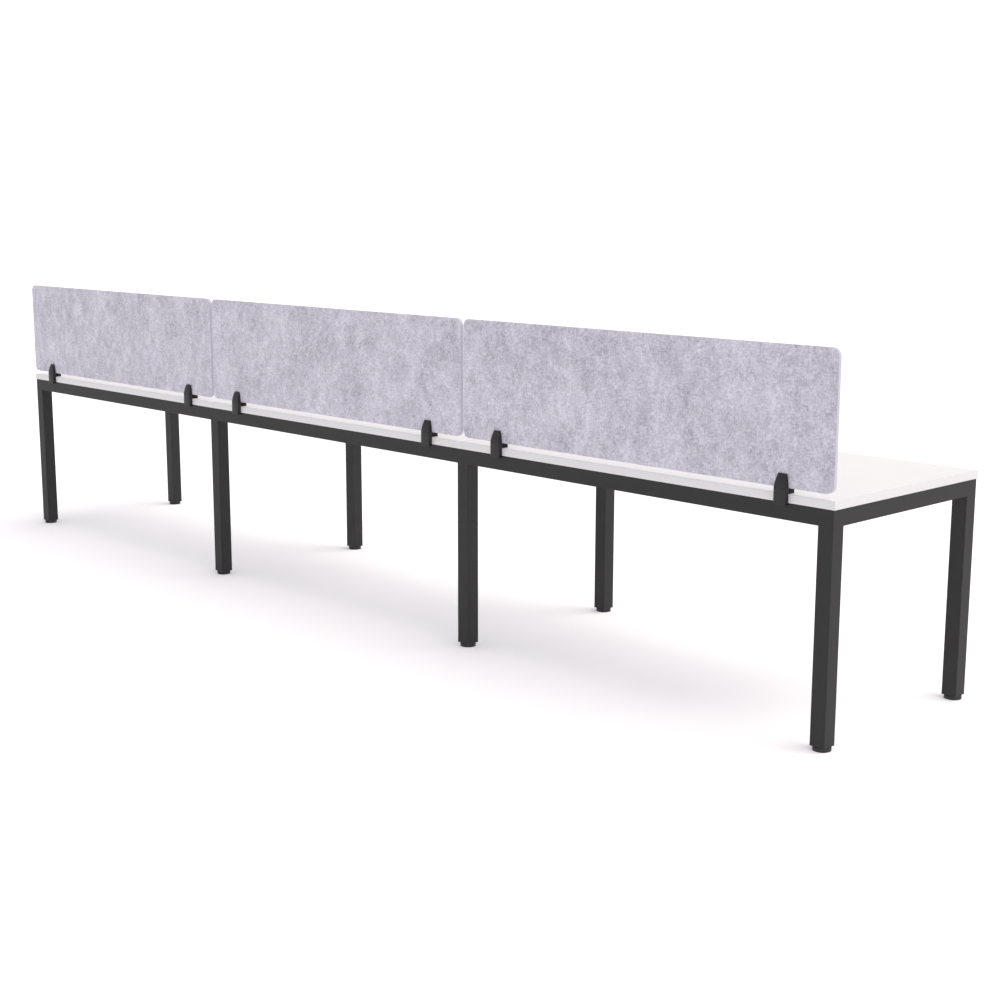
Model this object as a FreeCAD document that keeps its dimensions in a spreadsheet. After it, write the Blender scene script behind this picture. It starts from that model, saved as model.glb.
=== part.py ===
"""Three-place study bench: steel frame, board worktops and clamped felt screens.

Millimetres. +X runs along the bench, +Y points to the readers' side, +Z is up. The origin is on the
floor, under the middle of the whole bench, its screen brackets included.
"""

import FreeCAD, Part
import os

import Sketcher

V = FreeCAD.Vector
BAYS = (1, 2, 3)
LEG_ROWS = (1, 2, 3, 4)
SIDES = {"back": 1, "front": -1}
SMALLEST_CUT = 0.1
KNOB_FLUTES = 18

SIZES = {
    # worktops
    "bay_length": 1500,
    "top_depth": 750,
    "desk_height": 720,
    "top_thick": 25,
    "edging_thick": 2,
    "board_gap": 1,
    # frame
    "end_overhang": 4,
    "side_overhang": 1,
    "leg_side": 50,
    "rail_height": 50,
    "rail_width": 25,
    "tube_wall": 2,
    "tube_corner": 1.2,
    # levelling feet and the plugs that carry them
    "foot_radius": 27,
    "foot_height": 11.5,
    "foot_gap": 1.5,
    "foot_edge": 2,
    "stem_radius": 5,
    "stem_length": 45,
    "thread_clearance": 0.05,
    "plug_flange": 3,
    "plug_depth": 22,
    "plug_clearance": 0.2,
    # felt screens
    "screen_height": 400,
    "screen_thick": 12,
    "screen_gap": 12,
    "screen_corner": 25,
    "screen_lift": 17,
    # clamp brackets
    "bracket_width": 41,
    "bracket_inset": 175,
    "cheek_base": 15,
    "cheek_tip": 6,
    "cheek_height": 57,
    "taper_start": 15,
    "taper_side": 6.4,
    "shoulder_height": 31,
    "shoulder_thin": 2,
    "shoulder_side": 1.1,
    "skirt_drop": 31,
    # clamp screws and their pressure pads
    "clamp_height": 32,
    "clamp_radius": 3,
    "clamp_tip_radius": 2,
    "clamp_tip_length": 1.2,
    "knob_radius": 11,
    "knob_length": 11,
    "knob_gap": 1.2,
    "knob_edge": 1,
    "knob_flute": 1.6,
    "pad_radius": 6.5,
    "pad_thick": 2.5,
    "pad_play": 0.5,
    "pad_travel": 2.5,
    # wood screws
    "wood_screw_radius": 2,
    "wood_screw_head": 4,
    "wood_screw_cone": 2.4,
    "wood_screw_grip": 16,
    "head_recess": 0.5,
    "saddle_screw_pitch": 22,
    # corner brackets and their bolts
    "corner_height": 30,
    "corner_rail_arm": 34,
    "corner_leg_arm": 22,
    "corner_thick": 3,
    "bolt_radius": 3,
    "bolt_head_radius": 5.5,
    "bolt_head_height": 3.3,
    "bolt_reach": 12,
    # plates that hold the worktops down
    "tab_length": 30,
    "tab_arm": 22,
    "tab_thick": 2,
    "tab_screw_radius": 2,
    "tab_head_radius": 4,
    "tab_head_height": 2.2,
    "tab_screw_reach": 8,
    "tab_rail_spread": 800,
    "tab_cross_spread": 360,
}

doc = FreeCAD.newDocument("study_bench")
sheet = doc.addObject("Spreadsheet::Sheet", "Sizes")
for row, (alias, value) in enumerate(SIZES.items(), start=1):
    sheet.set("A%d" % row, alias)
    sheet.set("B%d" % row, str(value))
    sheet.setAlias("B%d" % row, alias)
doc.recompute()


def size(text):
    """An expression in which every word that names a cell reads that cell."""
    words = text.replace("(", "( ").replace(")", " )").split()
    return " ".join("Sizes." + word if word in SIZES else word for word in words)


# Heights and lines that several pieces share, as expressions in the sheet's names.
TOP_UNDER = "(desk_height - top_thick)"
FOOT_STANDS_OUT = "(foot_radius - leg_side / 2 - side_overhang)"
BACK_EDGE = "((cheek_base - top_depth - %s) / 2)" % FOOT_STANDS_OUT
FRONT_EDGE = "(%s + top_depth)" % BACK_EDGE
SCREEN_BACK = "(%s + screen_thick)" % BACK_EDGE
LEG_END = "(foot_height + foot_gap)"
RAIL_MID = "(%s - rail_height / 2)" % TOP_UNDER
BAY_START = {bay: "(bay_length * %s)" % (bay - 2.5) for bay in BAYS}
BAY_MIDDLE = {bay: "(bay_length * %s)" % (bay - 2) for bay in BAYS}
LEG_X = {
    1: "(bay_length * -1.5 + end_overhang + leg_side / 2)",
    2: "(bay_length * -0.5)",
    3: "(bay_length * 0.5)",
    4: "(bay_length * 1.5 - end_overhang - leg_side / 2)",
}
LEG_Y = {
    "back": "(%s + side_overhang + leg_side / 2)" % BACK_EDGE,
    "front": "(%s - side_overhang - leg_side / 2)" % FRONT_EDGE,
}
RAIL_Y = {
    "back": "(%s + side_overhang + rail_width / 2)" % BACK_EDGE,
    "front": "(%s - side_overhang - rail_width / 2)" % FRONT_EDGE,
}
RAIL_FACE_Y = {
    "back": "(%s + side_overhang + rail_width)" % BACK_EDGE,
    "front": "(%s - side_overhang - rail_width)" % FRONT_EDGE,
}
RAIL_LENGTH = {
    1: "(bay_length - end_overhang - leg_side * 1.5)",
    2: "(bay_length - leg_side)",
    3: "(bay_length - end_overhang - leg_side * 1.5)",
}
RAIL_START = {bay: "(%s + leg_side / 2)" % LEG_X[bay] for bay in BAYS}
RAIL_END = {bay: "(%s - leg_side / 2)" % LEG_X[bay + 1] for bay in BAYS}
CORNER_HOLE = "(corner_thick + (corner_rail_arm - corner_thick) / 2)"
CORNER_LEG_HOLE = "(corner_thick + (corner_leg_arm - corner_thick) / 2)"
TAB_HOLE = "(tab_arm / 2 + tab_thick / 2)"


# ---------------------------------------------------------------- making pieces


def place(piece, at, turn=FreeCAD.Rotation()):
    """Stand a piece at three expressions, turned as given."""
    piece.Placement = FreeCAD.Placement(V(0, 0, 0), turn)
    for axis, text in zip("xyz", at):
        piece.setExpression("Placement.Base." + axis, size(text))
    return piece


def axes(along_x, along_y, along_z):
    """The turn that carries a piece's own axes onto three directions."""
    return FreeCAD.Rotation(V(*along_x), V(*along_y), V(*along_z), "ZYX")


def new_body(label):
    body = doc.addObject("PartDesign::Body", label)
    body.Label = label
    return body


def new_sketch(body, plane):
    sketch = body.newObject("Sketcher::SketchObject", "Sketch")
    origin = [f for f in body.Origin.OriginFeatures if f.Role == plane][0]
    sketch.AttachmentSupport = [(origin, "")]
    sketch.MapMode = "FlatFace"
    return sketch


def pin(sketch, geometry, point, across, up):
    """Hold a sketch point at two expressions from the sketch's origin."""
    for kind, text in (("DistanceX", across), ("DistanceY", up)):
        index = sketch.addConstraint(Sketcher.Constraint(kind, -1, 1, geometry, point, 1.0))
        sketch.setExpression("Constraints[%d]" % index, size(text))


def value_of(text):
    """What an expression comes to with the sheet as it is."""
    found = sheet.evalExpression(size(text))
    return float(getattr(found, "Value", found))


def outline(sketch, points):
    """A closed outline through points given as pairs of expressions."""
    spots = [V(value_of(across), value_of(up), 0) for across, up in points]
    first = sketch.GeometryCount
    count = len(points)
    for i in range(count):
        sketch.addGeometry(Part.LineSegment(spots[i], spots[(i + 1) % count]), False)
    for i in range(count):
        following = first + (i + 1) % count
        sketch.addConstraint(Sketcher.Constraint("Coincident", first + i, 2, following, 1))
    for i, (across, up) in enumerate(points):
        pin(sketch, first + i, 1, across, up)


def rectangle(sketch, wide, deep):
    """A rectangle about the sketch's origin."""
    half_wide, half_deep = "(%s / 2)" % wide, "(%s / 2)" % deep
    corners = [("-", "-"), ("", "-"), ("", ""), ("-", "")]
    outline(sketch, [(a + half_wide, b + half_deep) for a, b in corners])


def circle(sketch, across, up, radius):
    spot = V(value_of(across), value_of(up), 0)
    index = sketch.addGeometry(Part.Circle(spot, V(0, 0, 1), value_of(radius)), False)
    pin(sketch, index, 3, across, up)
    rule = sketch.addConstraint(Sketcher.Constraint("Radius", index, value_of(radius)))
    sketch.setExpression("Constraints[%d]" % rule, size(radius))


def pad(body, sketch, length, both_ways=False):
    feature = body.newObject("PartDesign::Pad", "Pad")
    feature.Profile = sketch
    feature.setExpression("Length", size(length))
    feature.Midplane = both_ways
    doc.recompute()
    return feature


def pocket(body, sketch, depth=None, reverse=False, both_ways=False):
    """Cut a sketch to a depth, or right through on one side of its plane or on both."""
    before = body.Shape.Volume
    feature = body.newObject("PartDesign::Pocket", "Pocket")
    feature.Profile = sketch
    feature.Reversed = reverse
    feature.Midplane = both_ways
    if depth is None:
        feature.Type = 1
    else:
        feature.setExpression("Length", size(depth))
    doc.recompute()
    check_cut(body, before)
    return feature


def check_cut(body, before):
    """Stop if a cut has taken nothing away."""
    if before - body.Shape.Volume < SMALLEST_CUT:
        raise ValueError("a cut in %s takes nothing away" % body.Label)


def revolve(body, sketch):
    """Turn a sketch on the XZ plane right round the piece's own Z axis."""
    feature = body.newObject("PartDesign::Revolution", "Revolution")
    feature.Profile = sketch
    feature.ReferenceAxis = (sketch, ["V_Axis"])
    feature.Angle = 360
    doc.recompute()
    return feature


def round_edges(body, base, radius, wanted):
    """Fillet the edges of a feature whose middle point and direction are wanted."""
    names = []
    for number, edge in enumerate(base.Shape.Edges, start=1):
        if wanted(edge.valueAt((edge.FirstParameter + edge.LastParameter) / 2), edge):
            names.append("Edge%d" % number)
    feature = body.newObject("PartDesign::Fillet", "Fillet")
    feature.Base = (base, names)
    feature.setExpression("Radius", size(radius))
    doc.recompute()
    return feature


def runs_along(edge, axis):
    ends = edge.Vertexes
    if len(ends) != 2:
        return False
    step = ends[1].Point - ends[0].Point
    return abs(abs(step.dot(axis)) - step.Length) < 1e-6


def tube(label, wide, deep, length, holes=(), far_holes=()):
    """A square tube along its own Z, drilled through its +Y wall and, if asked, its -Y wall.

    A hole is (across, along, radius), measured from the tube's middle line and its lower end.
    """
    body = new_body(label)
    section = new_sketch(body, "XY_Plane")
    rectangle(section, wide, deep)
    rectangle(section, "(%s - 2 * tube_wall)" % wide, "(%s - 2 * tube_wall)" % deep)
    stock = pad(body, section, length)
    reach = (value_of(wide) + value_of(deep)) / 2 - value_of("tube_wall")
    along = V(0, 0, 1)
    round_edges(
        body, stock, "tube_corner", lambda p, e: runs_along(e, along) and abs(p.x) + abs(p.y) > reach
    )
    for row, reverse in ((holes, False), (far_holes, True)):
        if row:
            drilling = new_sketch(body, "XZ_Plane")
            for across, up, radius in row:
                circle(drilling, across, up, radius)
            pocket(body, drilling, reverse=reverse)
    return body


def group(label, members):
    """Like pieces kept together under one name, each a solid of its own."""
    bundle = doc.addObject("Part::Compound", label)
    bundle.Label = label
    bundle.Links = members
    return bundle


ALONG_X = {
    "back": axes((0, 0, -1), (0, 1, 0), (1, 0, 0)),
    "front": axes((0, 0, 1), (0, -1, 0), (1, 0, 0)),
}
finished = []


# ---------------------------------------------------------------- frame


def make_legs():
    """Square steel legs, open at both ends, drilled for the corner bolts beside each long rail."""
    height = "(%s - %s - plug_flange)" % (TOP_UNDER, LEG_END)
    drop = "(%s - rail_height / 2)" % height
    for side, inward in SIDES.items():
        for row in LEG_ROWS:
            # The bolt's line lies this far from the leg's middle, towards the bench's inside.
            reach = "(rail_width + %s - leg_side / 2)" % CORNER_LEG_HOLE
            hole = ("(%d * %s)" % (-inward, reach), drop, "bolt_radius")
            leg = tube(
                "leg_%s_%d" % (side, row),
                "leg_side",
                "leg_side",
                height,
                [hole] if row != LEG_ROWS[-1] else [],
                [hole] if row != LEG_ROWS[0] else [],
            )
            turn = axes((0, -1, 0), (1, 0, 0), (0, 0, 1))
            at = (LEG_X[row], LEG_Y[side], "(%s + plug_flange)" % LEG_END)
            finished.append(place(leg, at, turn))


def make_long_rails():
    """Rails along the bench, flush with the legs' outer faces."""
    for side in SIDES:
        for bay in BAYS:
            length = RAIL_LENGTH[bay]
            from_start = "(%s - %s)" % (BAY_MIDDLE[bay], RAIL_START[bay])
            holes = [
                ("0", CORNER_HOLE, "bolt_radius"),
                ("0", "(%s - %s)" % (length, CORNER_HOLE), "bolt_radius"),
            ]
            # The worktop's plates sit high on the rail, so their holes are off its middle line.
            lift = "(rail_height / 2 - %s)" % TAB_HOLE
            high = "(%s * %d)" % (lift, -1 if side == "back" else 1)
            for share in (-0.5, 0.5):
                along = "(%s + tab_rail_spread * %s)" % (from_start, share)
                holes.append((high, along, "tab_screw_radius"))
            rail = tube("rail_%s_%d" % (side, bay), "rail_height", "rail_width", length, holes)
            at = (RAIL_START[bay], RAIL_Y[side], RAIL_MID)
            finished.append(place(rail, at, ALONG_X[side]))


def make_cross_rails():
    """Rails across the bench, welded between the legs: narrow at the ends, square in the middle."""
    length = "(top_depth - 2 * side_overhang - 2 * leg_side)"
    high = "(rail_height / 2 - %s)" % TAB_HOLE
    holes = [
        (high, "(%s / 2 + tab_cross_spread * %s)" % (length, share), "tab_screw_radius")
        for share in (-0.5, 0.5)
    ]
    start_y = "(%s + leg_side / 2)" % LEG_Y["back"]
    turn = axes((0, 0, 1), (1, 0, 0), (0, 1, 0))
    for row in LEG_ROWS:
        name = "cross_rail_%d" % row
        if row in (2, 3):
            rail = tube(name, "rail_height", "leg_side", length, holes, holes)
            at = (LEG_X[row], start_y, RAIL_MID)
        elif row == 1:
            rail = tube(name, "rail_height", "rail_width", length, holes)
            at = ("(%s - leg_side / 2 + rail_width / 2)" % LEG_X[row], start_y, RAIL_MID)
        else:
            rail = tube(name, "rail_height", "rail_width", length, [], holes)
            at = ("(%s + leg_side / 2 - rail_width / 2)" % LEG_X[row], start_y, RAIL_MID)
        finished.append(place(rail, at, turn))


# ---------------------------------------------------------------- levelling feet


def make_plugs():
    """Moulded plugs in the leg ends, each with a flange under the tube and a threaded bore."""
    plugs = []
    for side in SIDES:
        for row in LEG_ROWS:
            body = new_body("leg_plug_%s_%d" % (side, row))
            flange = new_sketch(body, "XY_Plane")
            rectangle(flange, "leg_side", "leg_side")
            pad(body, flange, "plug_flange")
            core = new_sketch(body, "XY_Plane")
            inside = "(leg_side - 2 * tube_wall - 2 * plug_clearance)"
            rectangle(core, inside, inside)
            pad(body, core, "(plug_flange + plug_depth)")
            bore = new_sketch(body, "XY_Plane")
            circle(bore, "0", "0", "(stem_radius + thread_clearance)")
            pocket(body, bore, reverse=True)
            plugs.append(place(body, (LEG_X[row], LEG_Y[side], LEG_END)))
    finished.append(group("leg_plugs", plugs))


def make_feet():
    """Round feet with a moulded-in stem that screws up into the plug."""
    for side in SIDES:
        for row in LEG_ROWS:
            body = new_body("levelling_foot_%s_%d" % (side, row))
            profile = new_sketch(body, "XZ_Plane")
            outline(
                profile,
                [
                    ("0", "0"),
                    ("(foot_radius - foot_edge / 2)", "0"),
                    ("foot_radius", "(foot_edge / 2)"),
                    ("foot_radius", "(foot_height - foot_edge)"),
                    ("(foot_radius - foot_edge)", "foot_height"),
                    ("stem_radius", "foot_height"),
                    ("stem_radius", "(foot_height + stem_length)"),
                    ("0", "(foot_height + stem_length)"),
                ],
            )
            revolve(body, profile)
            finished.append(place(body, (LEG_X[row], LEG_Y[side], "0")))


# ---------------------------------------------------------------- worktops


def tab_spots(bay):
    """Where the hold-down plates of a bay stand: (x, y, the way they face along X and Y)."""
    spots = []
    for side, inward in SIDES.items():
        for share in (-0.5, 0.5):
            x = "(%s + tab_rail_spread * %s)" % (BAY_MIDDLE[bay], share)
            spots.append((x, RAIL_FACE_Y[side], (0, inward)))
    middle_y = "((%s + %s) / 2)" % (BACK_EDGE, FRONT_EDGE)
    start_half = "rail_width - leg_side / 2" if bay == BAYS[0] else "leg_side / 2"
    end_half = "rail_width - leg_side / 2" if bay == BAYS[-1] else "leg_side / 2"
    for share in (-0.5, 0.5):
        y = "(%s + tab_cross_spread * %s)" % (middle_y, share)
        spots.append(("(%s + %s)" % (LEG_X[bay], start_half), y, (1, 0)))
        spots.append(("(%s - (%s))" % (LEG_X[bay + 1], end_half), y, (-1, 0)))
    return spots


def bracket_spots(bay):
    """The middles of a bay's two clamp brackets."""
    half = "(bay_length / 2 - bracket_inset)"
    return ["(%s - %s)" % (BAY_MIDDLE[bay], half), "(%s + %s)" % (BAY_MIDDLE[bay], half)]


def saddle_screw_spots(bay):
    """Where the brackets' screws go down into a bay's worktop."""
    y = "(%s + screen_thick / 2)" % BACK_EDGE
    return [
        ("(%s + saddle_screw_pitch * %s)" % (middle, share), y)
        for middle in bracket_spots(bay)
        for share in (-0.5, 0.5)
    ]


def make_worktops():
    """Faced boards, drilled for the brackets from above and for the plates from below."""
    for bay in BAYS:
        body = new_body("worktop_%d" % bay)
        plan = new_sketch(body, "XY_Plane")
        rectangle(
            plan,
            "(bay_length - board_gap - 2 * edging_thick)",
            "(top_depth - 2 * edging_thick)",
        )
        pad(body, plan, "top_thick")
        middle_y = "((%s + %s) / 2)" % (BACK_EDGE, FRONT_EDGE)
        from_below = new_sketch(body, "XY_Plane")
        for x, y, (face_x, face_y) in tab_spots(bay):
            across = "(%s + %d * %s - %s)" % (x, face_x, TAB_HOLE, BAY_MIDDLE[bay])
            up = "(%s + %d * %s - %s)" % (y, face_y, TAB_HOLE, middle_y)
            circle(from_below, across, up, "wood_screw_radius")
        pocket(body, from_below, "wood_screw_grip", reverse=True)
        from_above = new_sketch(body, "XY_Plane")
        from_above.setExpression("AttachmentOffset.Base.z", size("top_thick"))
        for x, y in saddle_screw_spots(bay):
            across = "(%s - %s)" % (x, BAY_MIDDLE[bay])
            circle(from_above, across, "(%s - %s)" % (y, middle_y), "wood_screw_radius")
        pocket(body, from_above, "wood_screw_grip")
        finished.append(place(body, (BAY_MIDDLE[bay], middle_y, TOP_UNDER)))


def make_edging():
    """Four strips glued round each board: two long ones, and two short ones between them."""
    for bay in BAYS:
        strips = []
        start = "(%s + board_gap / 2)" % BAY_START[bay]
        length = "(bay_length - board_gap)"
        for name, y in (("back", BACK_EDGE), ("front", "(%s - edging_thick)" % FRONT_EDGE)):
            strip = doc.addObject("Part::Box", "edging_%s_%d" % (name, bay))
            strip.setExpression("Length", size(length))
            strip.setExpression("Width", size("edging_thick"))
            strip.setExpression("Height", size("top_thick"))
            strips.append(place(strip, (start, y, TOP_UNDER)))
        for name, x in (("start", start), ("end", "(%s + %s - edging_thick)" % (start, length))):
            strip = doc.addObject("Part::Box", "edging_%s_%d" % (name, bay))
            strip.setExpression("Length", size("edging_thick"))
            strip.setExpression("Width", size("(top_depth - 2 * edging_thick)"))
            strip.setExpression("Height", size("top_thick"))
            strips.append(place(strip, (x, "(%s + edging_thick)" % BACK_EDGE, TOP_UNDER)))
        finished.append(group("edging_%d" % bay, strips))


# ---------------------------------------------------------------- screens and clamps


def make_screens():
    """Pressed felt boards with rounded corners, standing on the brackets' saddles."""
    for bay in BAYS:
        body = new_body("screen_%d" % bay)
        front = new_sketch(body, "XZ_Plane")
        rectangle(front, "(bay_length - screen_gap)", "screen_height")
        board = pad(body, front, "screen_thick", both_ways=True)
        across = V(0, 1, 0)
        round_edges(body, board, "screen_corner", lambda p, e: runs_along(e, across))
        at = (
            BAY_MIDDLE[bay],
            "(%s + screen_thick / 2)" % BACK_EDGE,
            "(desk_height + screen_lift + screen_height / 2)",
        )
        finished.append(place(body, at))


def make_brackets():
    """U-shaped clamp brackets: a saddle on the worktop between two cheeks that taper upwards.

    The back cheek also runs down over the worktop's edge. The taper is slight up to a shoulder and
    steeper above it. Each bracket's own Y is 0 at the worktop's edge and its own Z is 0 on the
    worktop.
    """
    inner = "screen_thick"
    narrow_tip = "(bracket_width / 2 - taper_side)"
    above_tip = "(cheek_height + taper_side)"
    number = 0
    for bay in BAYS:
        for middle in bracket_spots(bay):
            number += 1
            body = new_body("screen_bracket_%d" % number)
            profile = new_sketch(body, "YZ_Plane")
            outline(
                profile,
                [
                    ("-1 * cheek_base", "-1 * skirt_drop"),
                    ("0", "-1 * skirt_drop"),
                    ("0", "0"),
                    ("(%s + cheek_base)" % inner, "0"),
                    ("(%s + cheek_base)" % inner, "taper_start"),
                    ("(%s + cheek_base - shoulder_thin)" % inner, "shoulder_height"),
                    ("(%s + cheek_tip)" % inner, "cheek_height"),
                    (inner, "cheek_height"),
                    (inner, "screen_lift"),
                    ("0", "screen_lift"),
                    ("0", "cheek_height"),
                    ("-1 * cheek_tip", "cheek_height"),
                    ("(shoulder_thin - cheek_base)", "shoulder_height"),
                    ("-1 * cheek_base", "taper_start"),
                ],
            )
            pad(body, profile, "bracket_width", both_ways=True)
            corners = new_sketch(body, "XZ_Plane")
            for way in (-1, 1):
                points = [
                    ("bracket_width / 2", "taper_start"),
                    ("(bracket_width / 2 + taper_side)", "taper_start"),
                    ("(bracket_width / 2 + taper_side)", above_tip),
                    (narrow_tip, above_tip),
                    (narrow_tip, "cheek_height"),
                    ("(bracket_width / 2 - shoulder_side)", "shoulder_height"),
                ]
                outline(corners, [("(%d * %s)" % (way, across), up) for across, up in points])
            pocket(body, corners, both_ways=True)
            bore = new_sketch(body, "XZ_Plane")
            circle(bore, "0", "clamp_height", "(clamp_radius + thread_clearance)")
            pocket(body, bore)
            seat = new_sketch(body, "XZ_Plane")
            circle(seat, "0", "clamp_height", "(pad_radius + pad_play)")
            pocket(body, seat, "(%s + pad_thick + pad_travel)" % inner)
            screw_row = new_sketch(body, "XY_Plane")
            for share in (-0.5, 0.5):
                across = "(saddle_screw_pitch * %s)" % share
                circle(screw_row, across, "(%s / 2)" % inner, "wood_screw_radius")
            pocket(body, screw_row, reverse=True)
            for share in (-0.5, 0.5):
                across = "(saddle_screw_pitch * %s)" % share
                countersink(body, across, "(%s / 2)" % inner)
            finished.append(place(body, (middle, BACK_EDGE, "desk_height")))


def countersink(body, across, deep):
    """A cone down into the saddle's top, with a short straight mouth that sinks the head."""
    mouth = "(screen_lift - head_recess)"
    cone = new_sketch(body, "XZ_Plane")
    cone.setExpression("AttachmentOffset.Base.z", size("(-1 * %s)" % deep))
    wide = "(%s + wood_screw_head)" % across
    outline(
        cone,
        [
            (across, "(%s - wood_screw_cone)" % mouth),
            ("(%s + wood_screw_radius)" % across, "(%s - wood_screw_cone)" % mouth),
            (wide, mouth),
            (wide, "(screen_lift + 1)"),
            (across, "(screen_lift + 1)"),
        ],
    )
    foot, head = V(value_of(across), 0, 0), V(value_of(across), value_of("screen_lift"), 0)
    axis = cone.addGeometry(Part.LineSegment(foot, head), True)
    pin(cone, axis, 1, across, "0")
    pin(cone, axis, 2, across, "screen_lift")
    before = body.Shape.Volume
    cut = body.newObject("PartDesign::Groove", "Groove")
    cut.Profile = cone
    cut.ReferenceAxis = (cone, ["Axis0"])
    cut.Angle = 360
    doc.recompute()
    check_cut(body, before)


def make_clamp_screws():
    """Knurled clamp screws, and the pressure pads that swivel on their tips."""
    number = 0
    turn = axes((1, 0, 0), (0, 0, -1), (0, 1, 0))
    face = "(desk_height + clamp_height)"
    knob_start = "(cheek_base + knob_gap)"
    knob_end = "(%s + knob_length)" % knob_start
    for bay in BAYS:
        for middle in bracket_spots(bay):
            number += 1
            cushion = new_body("clamp_pad_%d" % number)
            profile = new_sketch(cushion, "XZ_Plane")
            socket = "(clamp_tip_radius + thread_clearance)"
            outline(
                profile,
                [
                    ("0", "0"),
                    ("pad_radius", "0"),
                    ("pad_radius", "pad_thick"),
                    (socket, "pad_thick"),
                    (socket, "(pad_thick - clamp_tip_length)"),
                    ("0", "(pad_thick - clamp_tip_length)"),
                ],
            )
            revolve(cushion, profile)
            finished.append(place(cushion, (middle, SCREEN_BACK, face), turn))

            screw = new_body("clamp_screw_%d" % number)
            profile = new_sketch(screw, "XZ_Plane")
            outline(
                profile,
                [
                    ("0", "(pad_thick - clamp_tip_length)"),
                    ("clamp_tip_radius", "(pad_thick - clamp_tip_length)"),
                    ("clamp_tip_radius", "pad_thick"),
                    ("clamp_radius", "pad_thick"),
                    ("clamp_radius", knob_start),
                    ("(knob_radius - knob_edge)", knob_start),
                    ("knob_radius", "(%s + knob_edge)" % knob_start),
                    ("knob_radius", "(%s - knob_edge)" % knob_end),
                    ("(knob_radius - knob_edge)", knob_end),
                    ("0", knob_end),
                ],
            )
            revolve(screw, profile)
            flute = new_sketch(screw, "XY_Plane")
            below_knob = "(%s - knob_gap / 2)" % knob_start
            flute.setExpression("AttachmentOffset.Base.z", size(below_knob))
            circle(flute, "(knob_radius + knob_flute / 2)", "0", "knob_flute")
            groove = pocket(screw, flute, reverse=True)
            around = screw.newObject("PartDesign::PolarPattern", "PolarPattern")
            around.Originals = [groove]
            around.Axis = (flute, ["N_Axis"])
            around.Angle = 360
            around.Occurrences = KNOB_FLUTES
            screw.Tip = around
            doc.recompute()
            finished.append(place(screw, (middle, SCREEN_BACK, face), turn))


# ---------------------------------------------------------------- fixings


def make_wood_screws():
    """Countersunk screws: down through the brackets' saddles, and up through the plates."""
    members = []
    head_top = "(desk_height + screen_lift - head_recess)"
    long_grip = "(screen_lift - head_recess + wood_screw_grip)"
    number = 0
    for bay in BAYS:
        for x, y in saddle_screw_spots(bay):
            number += 1
            body = new_body("saddle_screw_%d" % number)
            profile = new_sketch(body, "XZ_Plane")
            outline(
                profile,
                [
                    ("0", "0"),
                    ("wood_screw_head", "0"),
                    ("wood_screw_radius", "(-1 * wood_screw_cone)"),
                    ("wood_screw_radius", "(-1 * %s)" % long_grip),
                    ("0", "(-1 * %s)" % long_grip),
                ],
            )
            revolve(body, profile)
            members.append(place(body, (x, y, head_top)))
    finished.append(group("saddle_screws", members))


def pan_screw(label, shank, head, head_height, reach):
    """A round-headed screw along its own +Z, its head's underside at 0."""
    body = new_body(label)
    profile = new_sketch(body, "XZ_Plane")
    outline(
        profile,
        [
            ("0", "(-1 * %s)" % head_height),
            ("(%s * 0.6)" % head, "(-1 * %s)" % head_height),
            (head, "(-0.35 * %s)" % head_height),
            (head, "0"),
            (shank, "0"),
            (shank, reach),
            ("0", reach),
        ],
    )
    revolve(body, profile)
    return body


def make_corner_brackets():
    """Steel angles in the corner between each long rail's inner face and its legs."""
    angles, bolts = [], []
    into = {
        (1, 0): axes((0, 1, 0), (0, 0, 1), (1, 0, 0)),
        (-1, 0): axes((0, -1, 0), (0, 0, 1), (-1, 0, 0)),
        (0, 1): axes((-1, 0, 0), (0, 0, 1), (0, 1, 0)),
        (0, -1): axes((1, 0, 0), (0, 0, 1), (0, -1, 0)),
    }
    number = 0
    for side, inward in SIDES.items():
        for bay in BAYS:
            for x, away in ((RAIL_START[bay], 1), (RAIL_END[bay], -1)):
                number += 1
                body = new_body("corner_bracket_%d" % number)
                plan = new_sketch(body, "XY_Plane")
                points = [
                    ("0", "0"),
                    ("corner_rail_arm", "0"),
                    ("corner_rail_arm", "corner_thick"),
                    ("corner_thick", "corner_thick"),
                    ("corner_thick", "corner_leg_arm"),
                    ("0", "corner_leg_arm"),
                ]
                outline(
                    plan, [("(%d * %s)" % (away, a), "(%d * %s)" % (inward, b)) for a, b in points]
                )
                pad(body, plan, "corner_height", both_ways=True)
                to_rail = new_sketch(body, "XZ_Plane")
                circle(to_rail, "(%d * %s)" % (away, CORNER_HOLE), "0", "bolt_radius")
                pocket(body, to_rail, reverse=inward == -1)
                to_leg = new_sketch(body, "YZ_Plane")
                circle(to_leg, "(%d * %s)" % (inward, CORNER_LEG_HOLE), "0", "bolt_radius")
                pocket(body, to_leg, reverse=away == 1)
                face_y = RAIL_FACE_Y[side]
                angles.append(place(body, (x, face_y, RAIL_MID)))

                bolt = pan_screw(
                    "rail_bolt_%d" % number,
                    "bolt_radius",
                    "bolt_head_radius",
                    "bolt_head_height",
                    "(bolt_reach + corner_thick)",
                )
                spot_x = "(%s + %d * %s)" % (x, away, CORNER_HOLE)
                spot_y = "(%s + %d * corner_thick)" % (face_y, inward)
                bolts.append(place(bolt, (spot_x, spot_y, RAIL_MID), into[(0, -inward)]))
                bolt = pan_screw(
                    "leg_bolt_%d" % number,
                    "bolt_radius",
                    "bolt_head_radius",
                    "bolt_head_height",
                    "(bolt_reach + corner_thick)",
                )
                spot_x = "(%s + %d * corner_thick)" % (x, away)
                spot_y = "(%s + %d * %s)" % (face_y, inward, CORNER_LEG_HOLE)
                bolts.append(place(bolt, (spot_x, spot_y, RAIL_MID), into[(-away, 0)]))
    finished.append(group("corner_brackets", angles))
    finished.append(group("corner_bolts", bolts))


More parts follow.
